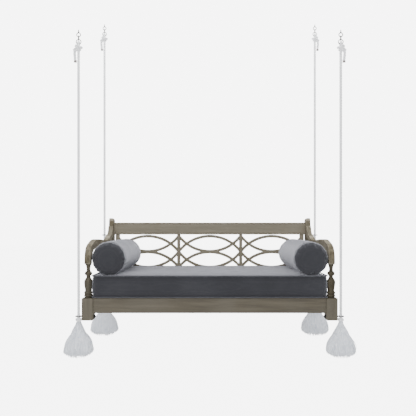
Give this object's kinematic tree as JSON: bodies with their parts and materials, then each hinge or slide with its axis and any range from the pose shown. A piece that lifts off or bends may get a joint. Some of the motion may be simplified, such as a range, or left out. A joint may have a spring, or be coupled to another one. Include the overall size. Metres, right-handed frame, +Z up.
{
  "type": "porch swing",
  "caption": "Wooden daybed porch swing with turned front posts, fretwork back, seat cushion and bolsters, hung on twisted ropes with tassels.",
  "frame": {"origin": "midway between the two front ceiling screws, at the ceiling surface", "axes": "+X to the right as seen from the front, +Y to the back, +Z up into the ceiling"},
  "size_m": [2.4084, 1.2629, 3.1603],
  "materials": {
    "weathered_wood": "matte, greyed",
    "plain_wood": "matte",
    "seat_fabric": "woven, matte",
    "rope": "twisted, soft",
    "fringe": "loose strands",
    "dark_metal": "satin",
    "zinc_screw": "satin"
  },
  "bodies": {
    "ceiling_fixings": {"ceiling_screw_eyes": "dark_metal"},
    "link_front_left": {"hanging_link_front_left": "dark_metal"},
    "rope_front_left": {"rope_ring_front_left": "dark_metal", "top_knot_front_left": "rope", "rope_tail_front_left": "rope", "rope_front_left": "rope"},
    "link_front_right": {"hanging_link_front_right": "dark_metal"},
    "rope_front_right": {"rope_ring_front_right": "dark_metal", "top_knot_front_right": "rope", "rope_tail_front_right": "rope", "rope_front_right": "rope"},
    "link_back_left": {"hanging_link_back_left": "dark_metal"},
    "rope_back_left": {"rope_ring_back_left": "dark_metal", "top_knot_back_left": "rope", "rope_tail_back_left": "rope", "rope_back_left": "rope"},
    "link_back_right": {"hanging_link_back_right": "dark_metal"},
    "rope_back_right": {"rope_ring_back_right": "dark_metal", "top_knot_back_right": "rope", "rope_tail_back_right": "rope", "rope_back_right": "rope"},
    "eye_front_left": {"lower_eye_front_left": "dark_metal", "eye_nut_front_left": "dark_metal", "lower_knot_front_left": "rope", "tassel_front_left": "fringe"},
    "eye_front_right": {"lower_eye_front_right": "dark_metal", "eye_nut_front_right": "dark_metal", "lower_knot_front_right": "rope", "tassel_front_right": "fringe"},
    "bench": {"front_post_left": "weathered_wood", "front_post_right": "weathered_wood", "back_post_left": "weathered_wood", "back_post_right": "weathered_wood", "arm_left": "weathered_wood", "arm_right": "weathered_wood", "front_rail": "weathered_wood", "back_rail": "weathered_wood", "side_rails": "weathered_wood", "centre_bearer": "plain_wood", "crest_rail": "weathered_wood", "lower_back_rail": "weathered_wood", "fretwork_left": "weathered_wood", "fretwork_centre": "weathered_wood", "fretwork_right": "weathered_wood", "back_stiles": "weathered_wood", "seat_slats": "plain_wood", "slat_cleats": "plain_wood", "slat_screws": "zinc_screw", "tenon_pegs": "plain_wood", "seat_cushion": "seat_fabric", "bolster_left": "seat_fabric", "bolster_right": "seat_fabric", "lower_eyes_back": "dark_metal", "eye_nuts_back": "dark_metal", "guide_eyes": "dark_metal", "lower_rope_back_left": "rope", "lower_rope_back_right": "rope", "lower_knots_back": "rope", "tassels_back": "fringe"}
  },
  "joints": [
    {"name": "swing_front_left", "type": "hinge", "parent": "ceiling_fixings", "child": "link_front_left", "pos_m": [-1.066, 0, -0.037], "axis": [1, 0, 0], "range_deg": [-15, 15]},
    {"name": "sway_front_left", "type": "hinge", "parent": "link_front_left", "child": "rope_front_left", "pos_m": [-1.066, 0, -0.0668], "axis": [0, 1, 0], "range_deg": [-3.5, 3.5]},
    {"name": "swing_front_right", "type": "hinge", "parent": "ceiling_fixings", "child": "link_front_right", "pos_m": [1.066, 0, -0.037], "axis": [1, 0, 0], "range_deg": [-15.05, 15.05]},
    {"name": "sway_front_right", "type": "hinge", "parent": "link_front_right", "child": "rope_front_right", "pos_m": [1.066, 0, -0.0668], "axis": [0, 1, 0], "range_deg": [-3.55, 3.55]},
    {"name": "swing_back_left", "type": "hinge", "parent": "ceiling_fixings", "child": "link_back_left", "pos_m": [-1.066, 1.005, 0.411], "axis": [1, 0, 0], "range_deg": [-16.48, 16.48]},
    {"name": "sway_back_left", "type": "hinge", "parent": "link_back_left", "child": "rope_back_left", "pos_m": [-1.066, 1.005, 0.3812], "axis": [0, 1, 0], "range_deg": [-3.88, 3.88]},
    {"name": "swing_back_right", "type": "hinge", "parent": "ceiling_fixings", "child": "link_back_right", "pos_m": [1.066, 1.005, 0.411], "axis": [1, 0, 0], "range_deg": [-16.48, 16.48]},
    {"name": "sway_back_right", "type": "hinge", "parent": "link_back_right", "child": "rope_back_right", "pos_m": [1.066, 1.005, 0.3812], "axis": [0, 1, 0], "range_deg": [-3.88, 3.88]},
    {"name": "eye_sway_front_left", "type": "hinge", "parent": "rope_front_left", "child": "eye_front_left", "pos_m": [-1.066, 0, -2.3105], "axis": [0, 1, 0], "range_deg": [-3.55, 3.55]},
    {"name": "eye_turn_front_left", "type": "hinge", "parent": "eye_front_left", "child": "bench", "pos_m": [-1.066, 0, -2.3105], "axis": [1, 0, 0], "range_deg": [-15.05, 15.05]},
    {"name": "eye_turn_front_right", "type": "hinge", "parent": "bench", "child": "eye_front_right", "pos_m": [1.066, 0, -2.3105], "axis": [1, 0, 0], "range_deg": [-15.05, 15.05]}
  ],
  "couplings": [
    {"joint": "swing_front_right", "follows": "swing_front_left", "ratio": 1},
    {"joint": "sway_front_right", "follows": "sway_front_left", "ratio": 1},
    {"joint": "swing_back_left", "follows": "swing_front_left", "ratio": 1.0954},
    {"joint": "sway_back_left", "follows": "sway_front_left", "ratio": 1.0953},
    {"joint": "swing_back_right", "follows": "swing_front_left", "ratio": 1.0954},
    {"joint": "sway_back_right", "follows": "sway_front_left", "ratio": 1.0953},
    {"joint": "eye_sway_front_left", "follows": "sway_front_left", "ratio": -1},
    {"joint": "eye_turn_front_left", "follows": "swing_front_left", "ratio": -1},
    {"joint": "eye_turn_front_right", "follows": "swing_front_left", "ratio": 1}
  ]
}
